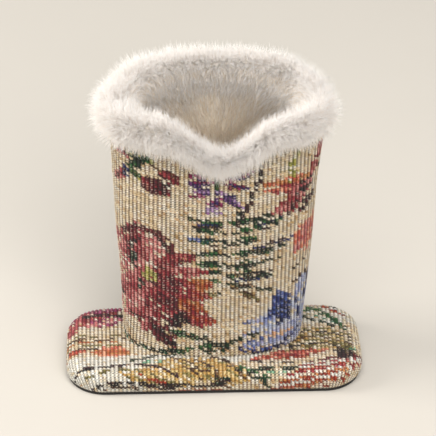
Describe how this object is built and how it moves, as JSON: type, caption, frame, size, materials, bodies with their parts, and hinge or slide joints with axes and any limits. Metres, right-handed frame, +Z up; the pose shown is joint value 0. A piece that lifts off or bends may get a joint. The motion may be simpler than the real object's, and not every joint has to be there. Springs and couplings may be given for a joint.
{
  "type": "stand-up glasses holder",
  "caption": "Soft stand-up glasses case: an oval fur-lined tapestry sleeve with a rolled fur cuff and a front notch, on a padded, weighted base.",
  "frame": {"origin": "middle of the base's underside, where it rests on the table", "axes": "+Z up, -Y is the front with the notch, +X to the right seen from the front"},
  "size_m": [0.123, 0.0636, 0.1338],
  "materials": {
    "tapestry": "ribbed weave",
    "fur": "long soft pile",
    "thread": "twisted cotton",
    "sole": "matte non-slip",
    "fibreboard": "raw",
    "card": "grey board",
    "tape": "gummed paper",
    "foam": "open cell foam",
    "steel": "mill"
  },
  "bodies": {
    "root": {"base_sole": "sole", "base_board": "fibreboard", "base_weight": "steel", "base_padding": "foam", "base_cover": "tapestry", "foot_board": "fibreboard", "foot_screws": "steel", "foot_stitches": "thread", "sleeve_stiffener": "card", "stiffener_tape": "tape", "sleeve_cover": "tapestry", "back_seam_thread": "thread", "fur_lining": "fur", "lining_floor": "fur", "fur_cuff": "fur", "cuff_stitches": "thread"}
  },
  "joints": []
}
